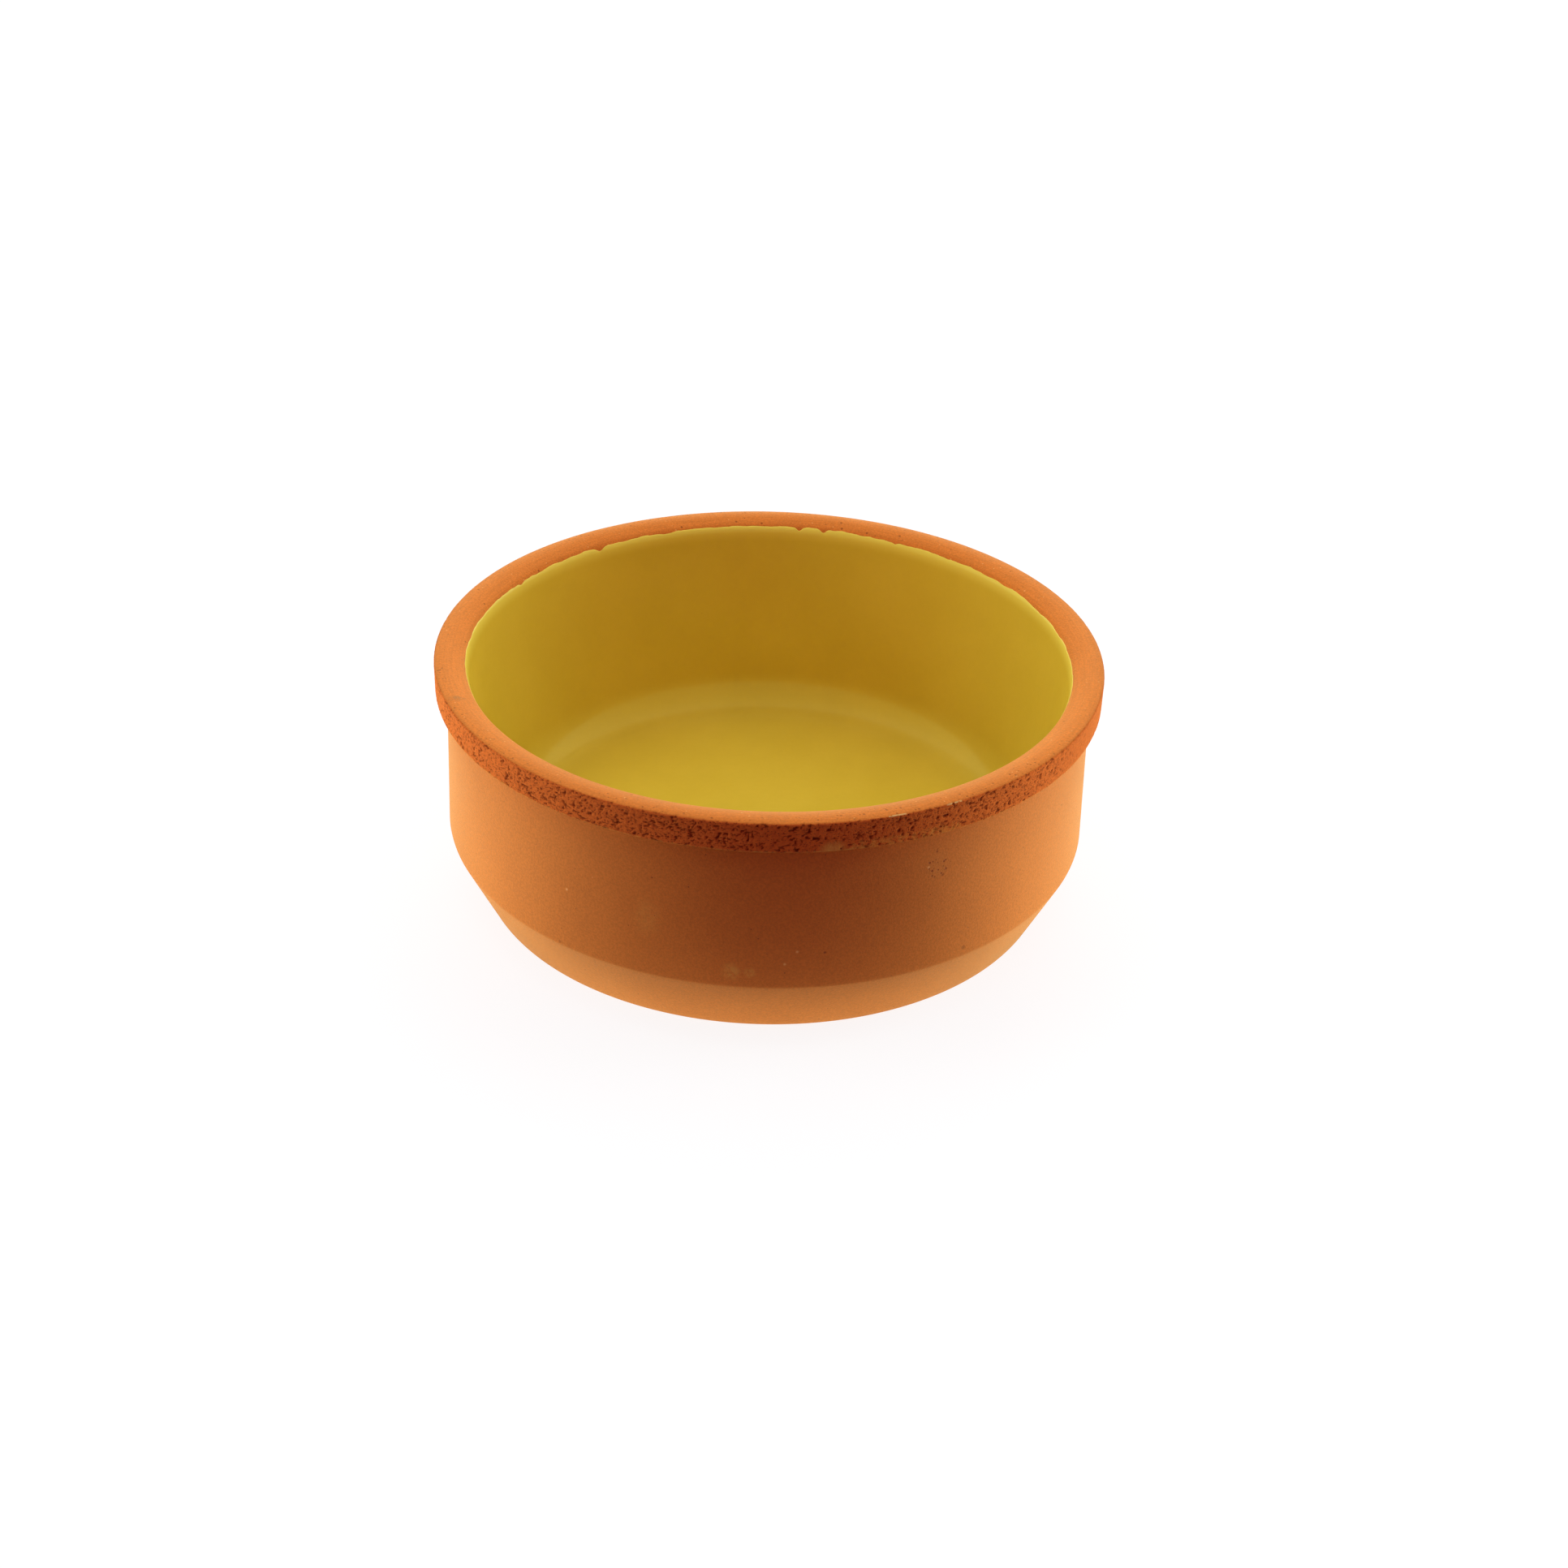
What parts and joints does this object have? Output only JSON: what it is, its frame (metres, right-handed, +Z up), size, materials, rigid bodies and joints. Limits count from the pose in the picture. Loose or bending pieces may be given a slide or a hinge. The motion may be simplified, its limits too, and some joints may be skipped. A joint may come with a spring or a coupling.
{
  "type": "cazuela",
  "caption": "Round terracotta oven dish with a flat base, a sloping foot, near-upright walls, a raised band round the rim and a glazed inside.",
  "frame": {"origin": "middle of the flat base, on the table", "axes": "+Z up out of the mouth, -Y towards the viewer of the picture, +X to the viewer's right"},
  "size_m": [0.14, 0.14, 0.0524],
  "materials": {
    "terracotta": "matt, unglazed, slightly sandy",
    "glaze": "satin mustard glaze over the inside"
  },
  "bodies": {
    "root": {"cazuela": "terracotta"}
  },
  "joints": []
}
